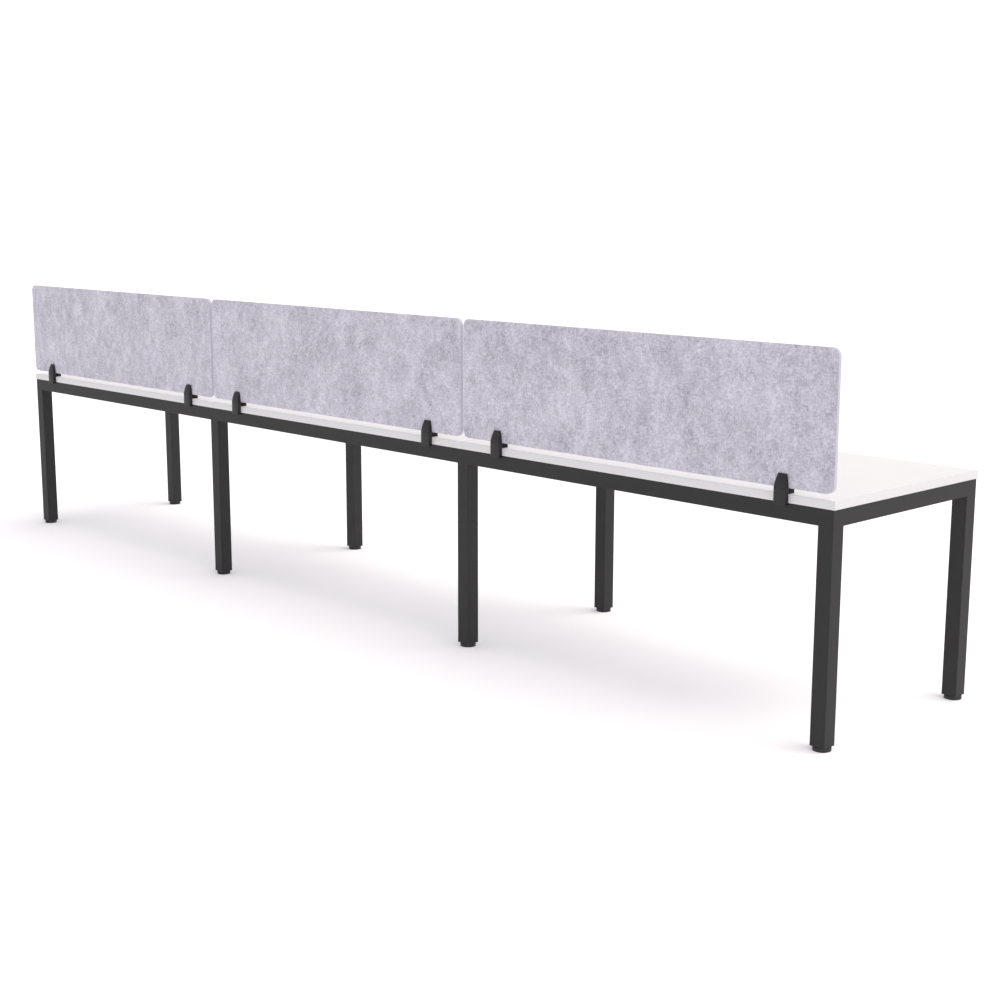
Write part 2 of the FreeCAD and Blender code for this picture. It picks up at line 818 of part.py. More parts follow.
def make_top_plates():
    """Small steel angles under the worktops, with a screw into the rail and one into the board."""
    plates, screws = [], []
    number = 0
    for bay in BAYS:
        for x, y, (face_x, face_y) in tab_spots(bay):
            number += 1
            body = new_body("top_plate_%d" % number)
            profile = new_sketch(body, "YZ_Plane")
            outline(
                profile,
                [
                    ("0", "0"),
                    ("0", "(-1 * tab_arm)"),
                    ("tab_thick", "(-1 * tab_arm)"),
                    ("tab_thick", "(-1 * tab_thick)"),
                    ("tab_arm", "(-1 * tab_thick)"),
                    ("tab_arm", "0"),
                ],
            )
            pad(body, profile, "tab_length", both_ways=True)
            to_rail = new_sketch(body, "XZ_Plane")
            circle(to_rail, "0", "(-1 * %s)" % TAB_HOLE, "tab_screw_radius")
            pocket(body, to_rail)
            to_board = new_sketch(body, "XY_Plane")
            circle(to_board, "0", TAB_HOLE, "wood_screw_radius")
            pocket(body, to_board)
            turn = axes((face_y, -face_x, 0), (face_x, face_y, 0), (0, 0, 1))
            plates.append(place(body, (x, y, TOP_UNDER), turn))

            screw = pan_screw(
                "plate_rail_screw_%d" % number,
                "tab_screw_radius",
                "tab_head_radius",
                "tab_head_height",
                "tab_screw_reach",
            )
            turn = axes((0, 0, 1), (face_y, -face_x, 0), (-face_x, -face_y, 0))
            spot_x = "(%s + %d * tab_thick)" % (x, face_x)
            spot_y = "(%s + %d * tab_thick)" % (y, face_y)
            height = "(%s - %s)" % (TOP_UNDER, TAB_HOLE)
            screws.append(place(screw, (spot_x, spot_y, height), turn))
            screw = pan_screw(
                "plate_board_screw_%d" % number,
                "wood_screw_radius",
                "tab_head_radius",
                "tab_head_height",
                "(tab_thick + wood_screw_grip)",
            )
            spot_x = "(%s + %d * %s)" % (x, face_x, TAB_HOLE)
            spot_y = "(%s + %d * %s)" % (y, face_y, TAB_HOLE)
            screws.append(place(screw, (spot_x, spot_y, "(%s - tab_thick)" % TOP_UNDER)))
    finished.append(group("top_plates", plates))
    finished.append(group("top_plate_screws", screws))


# ---------------------------------------------------------------- the bench

make_legs()
make_long_rails()
make_cross_rails()
make_plugs()
make_feet()
make_worktops()
make_edging()
make_screens()
make_brackets()
make_clamp_screws()
make_wood_screws()
make_corner_brackets()
make_top_plates()
doc.recompute()

faults = []
for item in doc.Objects:
    if "Invalid" in item.State or "Error" in item.State:
        faults.append("%s is %s" % (item.Label, item.State))
for piece in finished:
    if piece.Shape.isNull() or not piece.Shape.isValid():
        faults.append("%s has no valid shape" % piece.Label)
if faults:
    raise RuntimeError("; ".join(faults))

os.makedirs("parts", exist_ok=True)
for piece in finished:
    piece.Shape.exportStep("parts/%s.step" % piece.Label)
print("%d pieces written" % len(finished))
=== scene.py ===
"""A three-place study bench with felt screens: the finished look of each piece, built round the frame."""

import math

import bmesh
import bpy
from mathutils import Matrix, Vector


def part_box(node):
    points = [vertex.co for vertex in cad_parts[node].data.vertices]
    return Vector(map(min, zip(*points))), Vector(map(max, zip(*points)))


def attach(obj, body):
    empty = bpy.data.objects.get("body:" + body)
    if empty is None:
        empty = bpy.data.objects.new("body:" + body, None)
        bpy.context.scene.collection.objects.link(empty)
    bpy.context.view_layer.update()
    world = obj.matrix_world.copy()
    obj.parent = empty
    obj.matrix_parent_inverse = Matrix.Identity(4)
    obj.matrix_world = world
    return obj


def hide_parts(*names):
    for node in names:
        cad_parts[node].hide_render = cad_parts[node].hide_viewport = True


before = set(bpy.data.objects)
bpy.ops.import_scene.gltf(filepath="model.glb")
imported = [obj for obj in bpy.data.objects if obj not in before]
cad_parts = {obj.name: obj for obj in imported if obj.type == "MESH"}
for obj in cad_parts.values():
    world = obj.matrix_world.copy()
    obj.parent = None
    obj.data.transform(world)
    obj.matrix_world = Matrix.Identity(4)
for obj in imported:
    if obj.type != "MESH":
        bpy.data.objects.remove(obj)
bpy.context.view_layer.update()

# ---- Studio -------------------------------------------------------------------------------------
# A white paper sweep, a little lit through from below, in an evenly lit room. One broad softbox
# hangs overhead towards the open side, and a weak one stands off the near end. The camera stands
# low off the near end, on the screen side.

bpy.context.scene.view_settings.view_transform = "Standard"

bpy.ops.object.select_all(action="DESELECT")
bpy.ops.object.camera_add(
    location=(4.6758, -3.9669, 1.5211),
    rotation=(math.radians(79.500), math.radians(0.023), math.radians(46.912)),
)
camera = bpy.context.object
camera.name = "camera"
camera.data.lens = 57.05
camera.data.shift_x = 0.0222
camera.data.shift_y = -0.0043
camera.data.clip_end = 200
bpy.context.scene.camera = camera


def srgb(code):
    """A colour written as six hex digits, in the linear values that shaders take."""
    parts = [int(code[i : i + 2], 16) / 255 for i in (0, 2, 4)]
    return [p / 12.92 if p <= 0.04045 else ((p + 0.055) / 1.055) ** 2.4 for p in parts] + [1.0]


def add(tree, kind, values=None, links=None, **settings):
    """Add a node with its settings, its socket values and what its sockets are fed from."""
    made = tree.nodes.new(kind)
    for name, value in settings.items():
        setattr(made, name, value)
    for name, value in (values or {}).items():
        made.inputs[name].default_value = value
    for name, source in (links or {}).items():
        tree.links.new(source, made.inputs[name])
    return made


def new_material(name):
    """An empty material: its node tree, its surface shader and its output."""
    made = bpy.data.materials.new(name)
    made.use_nodes = True
    tree = made.node_tree
    return made, tree, tree.nodes["Principled BSDF"]


world = bpy.data.worlds.new("studio")
bpy.context.scene.world = world
world.use_nodes = True
room = world.node_tree
lit = room.nodes["Background"]
lit.inputs["Color"].default_value = srgb("FDFCFF")
lit.inputs["Strength"].default_value = 0.78
seen = add(room, "ShaderNodeBackground", {"Color": srgb("FFFFFF"), "Strength": 1.1})
ray = add(room, "ShaderNodeLightPath")
shown = add(room, "ShaderNodeMixShader")
room.links.new(ray.outputs["Is Camera Ray"], shown.inputs[0])
room.links.new(lit.outputs[0], shown.inputs[1])
room.links.new(seen.outputs[0], shown.inputs[2])
room.links.new(shown.outputs[0], room.nodes["World Output"].inputs["Surface"])

for name, towards, energy, spread in (
    ("overhead_softbox", (0.42, 0.30, 1.0), 1.5, 50),
    ("end_softbox", (1.0, 0.25, 0.35), 0.35, 90),
):
    bpy.ops.object.light_add(type="SUN", location=(2, 1.6, 4))
    lamp = bpy.context.object
    lamp.name = name
    lamp.data.energy = energy
    lamp.data.color = srgb("FFF6EF")[:3]
    lamp.data.angle = math.radians(spread)
    lamp.rotation_euler = Vector(towards).to_track_quat("Z", "Y").to_euler()

bpy.ops.mesh.primitive_plane_add(size=80, location=(0, 0, 0))
floor = bpy.context.object
floor.name = "floor"
sweep, tree, surface = new_material("white paper sweep")
surface.inputs["Base Color"].default_value = srgb("FDFCFD")
surface.inputs["Roughness"].default_value = 0.95
surface.inputs["Specular IOR Level"].default_value = 0.1
surface.inputs["Emission Color"].default_value = srgb("FAF9FF")
surface.inputs["Emission Strength"].default_value = 0.11
floor.data.materials.append(sweep)


# ---- Legs and rails -----------------------------------------------------------------------------
# Cold-formed square steel tube, cut, welded and powder coated in a fine matt black. The coat is
# baked on as grains that melt together, so it has a faint leathery texture and a soft, wide sheen.

MM = 0.001


def give(piece, material):
    """Put one material on a piece in place of any that it has."""
    piece.data.materials.clear()
    piece.data.materials.append(material)


def powder_coat(name, colour, grain_mm, gloss):
    """Baked polyester powder: fine uneven skin, slightly rougher in patches."""
    made, tree, surface = new_material(name)
    place = add(tree, "ShaderNodeTexCoord").outputs["Object"]
    grain = add(
        tree,
        "ShaderNodeTexNoise",
        {"Scale": 1 / (grain_mm * MM), "Detail": 3.0, "Roughness": 0.6},
        {"Vector": place},
    )
    skin = add(
        tree,
        "ShaderNodeTexNoise",
        {"Scale": 1 / (9 * MM), "Detail": 2.0, "Roughness": 0.5},
        {"Vector": place},
    )
    shade = add(tree, "ShaderNodeMix", {"A": srgb(colour[0]), "B": srgb(colour[1])}, data_type="RGBA")
    tree.links.new(skin.outputs["Fac"], shade.inputs["Factor"])
    tree.links.new(shade.outputs["Result"], surface.inputs["Base Color"])
    rough = add(
        tree,
        "ShaderNodeMapRange",
        {"From Min": 0.3, "From Max": 0.7, "To Min": gloss - 0.05, "To Max": gloss + 0.06},
        {"Value": grain.outputs["Fac"]},
    )
    tree.links.new(rough.outputs["Result"], surface.inputs["Roughness"])
    relief = add(
        tree,
        "ShaderNodeBump",
        {"Strength": 0.35, "Distance": 0.06 * MM},
        {"Height": grain.outputs["Fac"]},
    )
    tree.links.new(relief.outputs["Normal"], surface.inputs["Normal"])
    surface.inputs["IOR"].default_value = 1.5
    return made


black_coat = powder_coat("black polyester powder coat", ("111112", "161617"), 1.6, 0.58)
ROWS = (1, 2, 3, 4)
BAYS = (1, 2, 3)
SIDES = ("back", "front")
tubes = ["leg_%s_%d" % (side, row) for side in SIDES for row in ROWS]
tubes += ["rail_%s_%d" % (side, bay) for side in SIDES for bay in BAYS]
tubes += ["cross_rail_%d" % row for row in ROWS]
for name in tubes:
    give(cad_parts[name], black_coat)


# ---- Frame seams --------------------------------------------------------------------------------
# Where a rail meets a leg, the leg's rounded corner leaves a shallow groove. It is filled, ground
# flush and coated over, so that the rail runs into the leg with hardly a line.


def deselect():
    bpy.ops.object.select_all(action="DESELECT")


def block(name, low, high):
    """A cube primitive sized to two corners, its place kept in its mesh."""
    deselect()
    low, high = Vector(low), Vector(high)
    bpy.ops.mesh.primitive_cube_add(size=1, location=(low + high) / 2, scale=high - low)
    made = bpy.context.object
    made.name = name
    bpy.ops.object.transform_apply(location=True, rotation=True, scale=True)
    return made


def soften(piece, width, segments=2, angle=30):
    """Round a piece's sharp edges with a bevel, then shade it smooth up to the same angle."""
    deselect()
    piece.select_set(True)
    bpy.context.view_layer.objects.active = piece
    bevel = piece.modifiers.new("edges", "BEVEL")
    bevel.width = width
    bevel.segments = segments
    bevel.limit_method = "ANGLE"
    bevel.angle_limit = math.radians(angle)
    bpy.ops.object.modifier_apply(modifier=bevel.name)
    bpy.ops.object.shade_smooth_by_angle(angle=math.radians(angle + 10))


def join(name, pieces):
    deselect()
    for piece in pieces:
        piece.select_set(True)
    bpy.context.view_layer.objects.active = pieces[0]
    bpy.ops.object.join()
    made = bpy.context.object
    made.name = name
    return made


seam_proud = 0.04 * MM
seam_over = 0.4 * MM
leg_corner = 1.2 * MM
seams = []
for side in SIDES:
    for row in ROWS:
        leg_low, leg_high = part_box("leg_%s_%d" % (side, row))
        rail_low, rail_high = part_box("cross_rail_%d" % row)
        outer_y = leg_low.y if side == "back" else leg_high.y
        inner_y = leg_high.y if side == "back" else leg_low.y
        inward = 1 if side == "back" else -1
        # The long rails on either side of the leg, flush with its outer face.
        for x, away in ((leg_low.x, -1), (leg_high.x, 1)):
            if away == -1 and row == 1 or away == 1 and row == 4:
                continue
            xs = sorted((x - away * (leg_corner + seam_over), x + away * seam_over))
            ys = sorted((outer_y - inward * seam_proud, outer_y + inward * leg_corner))
            seams.append(block("seam", (xs[0], ys[0], rail_low.z), (xs[1], ys[1], rail_high.z)))
        # The cross rail behind the leg, flush with its end face, or with both faces in the middle.
        for x, away, flush in ((leg_low.x, -1, row != 4), (leg_high.x, 1, row != 1)):
            if flush:
                xs = sorted((x + away * seam_proud, x - away * leg_corner))
                ys = sorted(
                    (inner_y - inward * (leg_corner + seam_over), inner_y + inward * seam_over)
                )
                low, high = (xs[0], ys[0], rail_low.z), (xs[1], ys[1], rail_high.z)
                seams.append(block("seam", low, high))
for seam in seams:
    soften(seam, seam_proud / 2, segments=1)
seams = join("frame_seams", seams)
give(seams, black_coat)
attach(seams, "bench")


# ---- Levelling feet -----------------------------------------------------------------------------
# A round polypropylene foot moulded onto an M10 zinc-plated stem. It screws up into the plug in the
# leg's end, so only the disc and a few turns of thread show under the leg.


def pick(kind, wanted):
    """In edit mode, select only the faces, edges or vertices that are wanted, by their middle."""
    bpy.ops.mesh.select_mode(type=kind)
    bpy.ops.mesh.select_all(action="DESELECT")
    mesh = bmesh.from_edit_mesh(bpy.context.object.data)
    found = {"FACE": mesh.faces, "EDGE": mesh.edges, "VERT": mesh.verts}[kind]
    for item in found:
        if kind == "VERT":
            middle = item.co
        else:
            middle = sum((v.co for v in item.verts), Vector()) / len(item.verts)
        if wanted(middle, item):
            item.select_set(True)
    bmesh.update_edit_mesh(bpy.context.object.data)


def edit(piece):
    """Make a piece the only one selected, and open it in edit mode."""
    deselect()
    piece.select_set(True)
    bpy.context.view_layer.objects.active = piece
    bpy.ops.object.mode_set(mode="EDIT")


def close():
    bpy.ops.object.mode_set(mode="OBJECT")


def extrude(step):
    bpy.ops.mesh.extrude_region_move(TRANSFORM_OT_translate={"value": step})


def drum(name, middle, radius, height, corners=64, axis="Z"):
    """A cylinder primitive whose place is kept in its mesh."""
    deselect()
    turn = {"Z": (0, 0, 0), "Y": (math.radians(-90), 0, 0)}[axis]
    bpy.ops.mesh.primitive_cylinder_add(
        vertices=corners, radius=radius, depth=height, location=middle, rotation=turn
    )
    made = bpy.context.object
    made.name = name
    bpy.ops.object.transform_apply(location=True, rotation=True, scale=True)
    return made


def copy_to(piece, name, step):
    """A copy with its own mesh, moved by a step that is kept in the mesh."""
    deselect()
    piece.select_set(True)
    bpy.context.view_layer.objects.active = piece
    bpy.ops.object.duplicate()
    made = bpy.context.object
    made.name = name
    made.location = step
    bpy.ops.object.transform_apply(location=True, rotation=False, scale=False)
    return made


def threaded_rod(name, middle, low, high, radius, pitch, axis="Z"):
    """A stem with rolled thread: rings of crest and root, half a pitch apart."""
    turns = int((high - low) / pitch)
    made = drum(name, (0, 0, low), radius, pitch / 100, corners=24)
    edit(made)
    thread_depth = 0.55 * pitch
    for half in range(turns * 2):
        pick("FACE", lambda m, f: f.normal.z > 0.9)
        extrude((0, 0, pitch / 2))
        share = (radius - thread_depth) / radius
        share = share if half % 2 == 0 else 1 / share
        bpy.ops.transform.resize(value=(share, share, 1), center_override=(0, 0, 0))
    close()
    if axis == "Y":
        made.rotation_euler = (math.radians(-90), 0, 0)
    made.location = middle
    bpy.ops.object.transform_apply(location=True, rotation=True, scale=True)
    bpy.ops.object.shade_smooth_by_angle(angle=math.radians(25))
    return made


def moulded(name, colour, grain_mm, rough, bump_mm=0.03):
    """Injection-moulded plastic with a spark-eroded texture from the tool."""
    made, tree, surface = new_material(name)
    place = add(tree, "ShaderNodeTexCoord").outputs["Object"]
    grain = add(
        tree,
        "ShaderNodeTexNoise",
        {"Scale": 1 / (grain_mm * MM), "Detail": 4.0, "Roughness": 0.65},
        {"Vector": place},
    )
    tone = add(tree, "ShaderNodeMix", {"A": srgb(colour[0]), "B": srgb(colour[1])}, data_type="RGBA")
    tree.links.new(grain.outputs["Fac"], tone.inputs["Factor"])
    tree.links.new(tone.outputs["Result"], surface.inputs["Base Color"])
    relief = add(
        tree,
        "ShaderNodeBump",
        {"Strength": 0.4, "Distance": bump_mm * MM},
        {"Height": grain.outputs["Fac"]},
    )
    tree.links.new(relief.outputs["Normal"], surface.inputs["Normal"])
    surface.inputs["Roughness"].default_value = rough
    surface.inputs["IOR"].default_value = 1.49
    return made


def zinc_plate(name):
    """Bright zinc on steel: pale blue-grey metal, cloudy where the bath left it uneven."""
    made, tree, surface = new_material(name)
    place = add(tree, "ShaderNodeTexCoord").outputs["Object"]
    cloud = add(
        tree,
        "ShaderNodeTexNoise",
        {"Scale": 1 / (4 * MM), "Detail": 4.0, "Roughness": 0.6},
        {"Vector": place},
    )
    tone = add(tree, "ShaderNodeMix", {"A": srgb("A9ADB2"), "B": srgb("C9CCCF")}, data_type="RGBA")
    tree.links.new(cloud.outputs["Fac"], tone.inputs["Factor"])
    tree.links.new(tone.outputs["Result"], surface.inputs["Base Color"])
    rough = add(
        tree,
        "ShaderNodeMapRange",
        {"To Min": 0.26, "To Max": 0.44},
        {"Value": cloud.outputs["Fac"]},
    )
    tree.links.new(rough.outputs["Result"], surface.inputs["Roughness"])
    surface.inputs["Metallic"].default_value = 1.0
    return made


foot_plastic = moulded("black polypropylene", ("1C1C1D", "252526"), 0.8, 0.48)
zinc = zinc_plate("bright zinc-plated steel")
low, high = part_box("levelling_foot_back_1")
foot_middle = (low + high) / 2
foot_height = 11.5 * MM
rim_width = 3.2 * MM
dome_height = 0.5 * MM
dome_share = 0.94
dish_inset = 14.6 * MM
dish_depth = 0.9 * MM
sole_rim = 2.2 * MM
foot_edge = 0.7 * MM
stem_radius = 5 * MM
stem_pitch = 1.5 * MM
stem_sunk = 1 * MM
foot = drum(
    "foot_master",
    (foot_middle.x, foot_middle.y, foot_height / 2),
    (high.x - low.x) / 2,
    foot_height,
    corners=96,
)
edit(foot)
pick("FACE", lambda m, f: f.normal.z > 0.9)
bpy.ops.mesh.inset(thickness=rim_width)
extrude((0, 0, dome_height))
bpy.ops.transform.resize(value=(dome_share, dome_share, 1), center_override=foot_middle)
bpy.ops.mesh.inset(thickness=dish_inset)
extrude((0, 0, -dish_depth))
pick("FACE", lambda m, f: f.normal.z < -0.9)
bpy.ops.mesh.inset(thickness=sole_rim)
close()
soften(foot, foot_edge, segments=3)
give(foot, foot_plastic)
stem = threaded_rod(
    "stem_master",
    (foot_middle.x, foot_middle.y, 0),
    foot_height - stem_sunk,
    high.z,
    stem_radius,
    stem_pitch,
)
give(stem, zinc)
foot = join("foot_master", [foot, stem])
for side in SIDES:
    for row in ROWS:
        node = "levelling_foot_%s_%d" % (side, row)
        low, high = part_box(node)
        step = (low + high) / 2 - foot_middle
        made = copy_to(foot, "foot_%s_%d" % (side, row), (step.x, step.y, 0))
        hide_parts(node)
        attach(made, "foot_%s_%d" % (side, row))
bpy.data.objects.remove(foot)

# The plugs are glass-filled nylon, pushed into the tube ends; only their flanges show.
plug_plastic = moulded("black glass-filled nylon", ("1E1E20", "2A2A2B"), 1.1, 0.55)
give(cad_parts["leg_plugs"], plug_plastic)


# ---- Worktops -----------------------------------------------------------------------------------
# Chipboard faced with white melamine, 25 mm thick. The facing is pressed against a pearl-textured
# plate, so it is a satin white that breaks reflections up very slightly.


def melamine(name, colour, pearl_mm, rough):
    """Melamine facing: a fine pearl texture, with a very slight unevenness in the gloss."""
    made, tree, surface = new_material(name)
    place = add(tree, "ShaderNodeTexCoord").outputs["Object"]
    pearl = add(
        tree,
        "ShaderNodeTexVoronoi",
        {"Scale": 1 / (pearl_mm * MM), "Randomness": 1.0},
        {"Vector": place},
        feature="SMOOTH_F1",
    )
    haze = add(
        tree,
        "ShaderNodeTexNoise",
        {"Scale": 1 / (160 * MM), "Detail": 3.0, "Roughness": 0.55},
        {"Vector": place},
    )
    tone = add(tree, "ShaderNodeMix", {"A": srgb(colour[0]), "B": srgb(colour[1])}, data_type="RGBA")
    tree.links.new(haze.outputs["Fac"], tone.inputs["Factor"])
    tree.links.new(tone.outputs["Result"], surface.inputs["Base Color"])
    gloss = add(
        tree,
        "ShaderNodeMapRange",
        {"From Min": 0.35, "From Max": 0.65, "To Min": rough - 0.04, "To Max": rough + 0.05},
        {"Value": haze.outputs["Fac"]},
    )
    tree.links.new(gloss.outputs["Result"], surface.inputs["Roughness"])
    relief = add(
        tree,
        "ShaderNodeBump",
        {"Strength": 0.25, "Distance": 0.04 * MM},
        {"Height": pearl.outputs["Distance"]},
    )
    tree.links.new(relief.outputs["Normal"], surface.inputs["Normal"])
    surface.inputs["IOR"].default_value = 1.5
    return made


facing_edge = 0.06 * MM
white_facing = melamine("white melamine facing", ("E8E7E7", "ECEBEB"), 1.4, 0.45)
for bay in BAYS:
    node = "worktop_%d" % bay
    low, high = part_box(node)
    board = block("board_%d" % bay, low, high)
    soften(board, facing_edge, segments=1)
    give(board, white_facing)
    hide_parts(node)
    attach(board, "bench")


# ---- Edging -------------------------------------------------------------------------------------
# 2 mm ABS strip glued to all four edges of each board and trimmed flush, its long corners scraped
# to a small radius. It is a touch warmer and duller than the facing, and darker in colour. The
# darker tone is painted shade on the board's sides, which take less of the overhead light than the top.

scraped_edge = 0.5 * MM
# Painted shade: the edging is set darker than the facing, so the board's sides read darker than its top.
white_strip_painted_shade = melamine("white ABS edging with painted shade", ("D5D6D7", "DADADB"), 2.2, 0.5)
for bay in BAYS:
    node = "edging_%d" % bay
    low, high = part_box(node)
    board_low, board_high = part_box("worktop_%d" % bay)
    strips = (
        (low, (high.x, board_low.y, high.z), (0, -1, 0)),
        ((low.x, board_high.y, low.z), high, (0, 1, 0)),
        ((low.x, board_low.y, low.z), (board_low.x, board_high.y, high.z), (-1, 0, 0)),
        ((board_high.x, board_low.y, low.z), (high.x, board_high.y, high.z), (1, 0, 0)),
    )
    glued = []
    for strip_low, strip_high, outward in strips:
        strip = block("strip", strip_low, strip_high)
        middle = (Vector(strip_low) + Vector(strip_high)) / 2
        outward = Vector(outward)
        # Only the two long corners that face away from the board are scraped.
        edit(strip)
        pick(
            "EDGE",
            lambda m, e: (m - middle).dot(outward) > 0.9 * MM and abs(m.z - middle.z) > 10 * MM,
        )
        bpy.ops.mesh.bevel(offset=scraped_edge, offset_type="OFFSET", segments=3, profile=0.5)
        close()
        bpy.ops.object.shade_smooth_by_angle(angle=math.radians(40))
        glued.append(strip)
    edging = join("edge_strips_%d" % bay, glued)
    give(edging, white_strip_painted_shade)
    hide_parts(node)
    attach(edging, "bench")


# ---- Felt screens -------------------------------------------------------------------------------
# 12 mm board of needled and heat-pressed polyester fibre. Pale and mid-grey fibres are blended
# before carding, which leaves soft clouds and tufts; the sawn edge is as pale, but more even.


def pressed_felt(name):
    """Marled felt: soft clouds where the blend is uneven, tufts, and single fibres lying across."""
    made, tree, surface = new_material(name)
    place = add(tree, "ShaderNodeTexCoord").outputs["Object"]
    # Each layer is its size across and up in millimetres, its turn, and its share of the marl. The
    # clouds and tufts are a little taller than wide, as carding leaves them. The fibres are drawn
    # coarser than the real ones, which are too fine to show, and they cross each other.
    layers = (
        (130, 190, 0, 0.34),
        (48, 75, 6, 0.34),
        (19, 24, -9, 0.40),
        (8, 8, 20, 0.52),
        (4.6, 15, 3, 0.42),
        (14, 4.6, -4, 0.42),
        (3.6, 3.6, 0, 0.36),
    )
    marl = None
    for across, up, turn, share in layers:
        lie = add(
            tree,
            "ShaderNodeMapping",
            {
                "Rotation": (0, math.radians(turn), 0),
                "Scale": (1 / (across * MM), 1 / (across * MM), 1 / (up * MM)),
            },
            {"Vector": place},
        )
        tuft = add(
            tree,
            "ShaderNodeTexNoise",
            {"Scale": 1.0, "Detail": 1.0, "Roughness": 0.5},
            {"Vector": lie.outputs["Vector"]},
        )
        layer = add(
            tree,
            "ShaderNodeMath",
            {1: share, 2: -0.5 * share},
            {0: tuft.outputs["Fac"]},
            operation="MULTIPLY_ADD",
        )
        if marl is None:
            marl = layer.outputs[0]
        else:
            both = add(tree, "ShaderNodeMath", None, {0: marl, 1: layer.outputs[0]}, operation="ADD")
            marl = both.outputs[0]
    tone = add(
        tree,
        "ShaderNodeMapRange",
        {"From Min": -0.35, "From Max": 0.35},
        {"Value": marl},
    )
    shade = add(tree, "ShaderNodeMix", {"A": srgb("9796A3"), "B": srgb("DEDCE8")}, data_type="RGBA")
    tree.links.new(tone.outputs["Result"], shade.inputs["Factor"])
    tree.links.new(shade.outputs["Result"], surface.inputs["Base Color"])
    relief = add(
        tree,
        "ShaderNodeBump",
        {"Strength": 0.5, "Distance": 0.5 * MM},
        {"Height": tone.outputs["Result"]},
    )
    tree.links.new(relief.outputs["Normal"], surface.inputs["Normal"])
    surface.inputs["Roughness"].default_value = 0.95
    surface.inputs["Specular IOR Level"].default_value = 0.2
    surface.inputs["Sheen Weight"].default_value = 0.2
    surface.inputs["Sheen Roughness"].default_value = 0.5
    return made


def cut_felt(name):
    """The sawn edge: the same fibre with its ends opened up, so it looks more even and softer."""
    made, tree, surface = new_material(name)
    place = add(tree, "ShaderNodeTexCoord").outputs["Object"]
    ends = add(
        tree,
        "ShaderNodeTexNoise",
        {"Scale": 1 / (1.6 * MM), "Detail": 4.0, "Roughness": 0.7},
        {"Vector": place},
    )
    tone = add(tree, "ShaderNodeMix", {"A": srgb("B2B1BE"), "B": srgb("CBCAD7")}, data_type="RGBA")
    tree.links.new(ends.outputs["Fac"], tone.inputs["Factor"])
    tree.links.new(tone.outputs["Result"], surface.inputs["Base Color"])
    relief = add(
        tree,
        "ShaderNodeBump",
        {"Strength": 0.8, "Distance": 0.5 * MM},
        {"Height": ends.outputs["Fac"]},
    )
    tree.links.new(relief.outputs["Normal"], surface.inputs["Normal"])
    surface.inputs["Roughness"].default_value = 1.0
    surface.inputs["Specular IOR Level"].default_value = 0.15
    surface.inputs["Sheen Weight"].default_value = 0.3
    return made


felt_face = pressed_felt("marled polyester felt")
felt_edge = cut_felt("sawn felt edge")
corner_radius = 25 * MM
edge_band = 1.4 * MM
edge_round = 1.1 * MM
for bay in BAYS:
    node = "screen_%d" % bay
    low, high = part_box(node)
    middle = (low + high) / 2
    screen = block("felt_screen_%d" % bay, low, high)
    edit(screen)
    reach = (high - low) / 2 - Vector((corner_radius, 0, corner_radius))
    pick("EDGE", lambda m, e: abs(m.x - middle.x) > reach.x and abs(m.z - middle.z) > reach.z)
    bpy.ops.mesh.bevel(offset=corner_radius, offset_type="OFFSET", segments=12, profile=0.5)
    pick("FACE", lambda m, f: abs(f.normal.y) > 0.9)
    bpy.ops.mesh.inset(thickness=edge_band)
    close()
    for face in screen.data.polygons:
        face.material_index = 0 if abs(face.normal.y) > 0.9 else 1
    screen.data.materials.append(felt_face)
    screen.data.materials.append(felt_edge)
    soften(screen, edge_round, segments=3, angle=50)
    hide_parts(node)
    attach(screen, "bench")


# ---- Clamp brackets -----------------------------------------------------------------------------
# Die-cast zinc in a matt black coat: a saddle on the worktop between two cheeks that taper towards
# their tips. The outer cheek runs down over the edge of the worktop.

cast_black = powder_coat("matt black coated casting", ("131314", "18181A"), 0.9, 0.54)
# Painted shade: a near-black lining, darker than the casting, for the faces in the screen's shadow.
shade_painted_lining = moulded("black rubber lining", ("0A0A0A", "0E0E0E"), 0.7, 0.9, 0.05)
low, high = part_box("screen_bracket_1")
screen_low, screen_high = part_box("screen_1")
screw_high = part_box("clamp_screw_1")[1]
pad_low, pad_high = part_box("clamp_pad_1")
board_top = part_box("worktop_1")[1].z
bracket_middle = (low.x + high.x) / 2
bracket_width = high.x - low.x
cheek_base = screen_low.y - low.y
cheek_tip = 4.5 * MM
taper_from = board_top + 15 * MM
taper_side = 6.4 * MM
taper_steps = 9
taper_curve = 1.6
cast_edge = 0.7 * MM
screw_z = (pad_low.z + pad_high.z) / 2
bracket = block(
    "bracket_master",
    (low.x, screen_low.y, board_top),
    (high.x, screen_high.y, screen_low.z),
)
for outward, face_y in ((-1, screen_low.y), (1, screen_high.y)):
    edit(bracket)
    pick("FACE", lambda m, f: f.normal.y * outward > 0.9 and abs(m.y - face_y) < 1e-5)
    extrude((0, outward * cheek_base, 0))
    cheek_y = face_y + outward * cheek_base / 2
    pick("FACE", lambda m, f: f.normal.z > 0.9 and abs(m.y - cheek_y) < 1e-4)
    extrude((0, 0, taper_from - screen_low.z))
    wide, thick = bracket_width, cheek_base
    for step in range(1, taper_steps + 1):
        extrude((0, 0, (high.z - taper_from) / taper_steps))
        loss = (step / taper_steps) ** taper_curve
        new_wide = bracket_width - 2 * taper_side * loss
        new_thick = cheek_base - (cheek_base - cheek_tip) * loss
        bpy.ops.transform.resize(
            value=(new_wide / wide, new_thick / thick, 1),
            center_override=(bracket_middle, face_y, high.z),
        )
        wide, thick = new_wide, new_thick
    if outward < 0:
        pick("FACE", lambda m, f: f.normal.z < -0.9 and abs(m.y - cheek_y) < 1e-4)
        extrude((0, 0, low.z - board_top))
    close()
seat_depth = 5 * MM
seat_radius = 7 * MM
bore_radius = 3.05 * MM
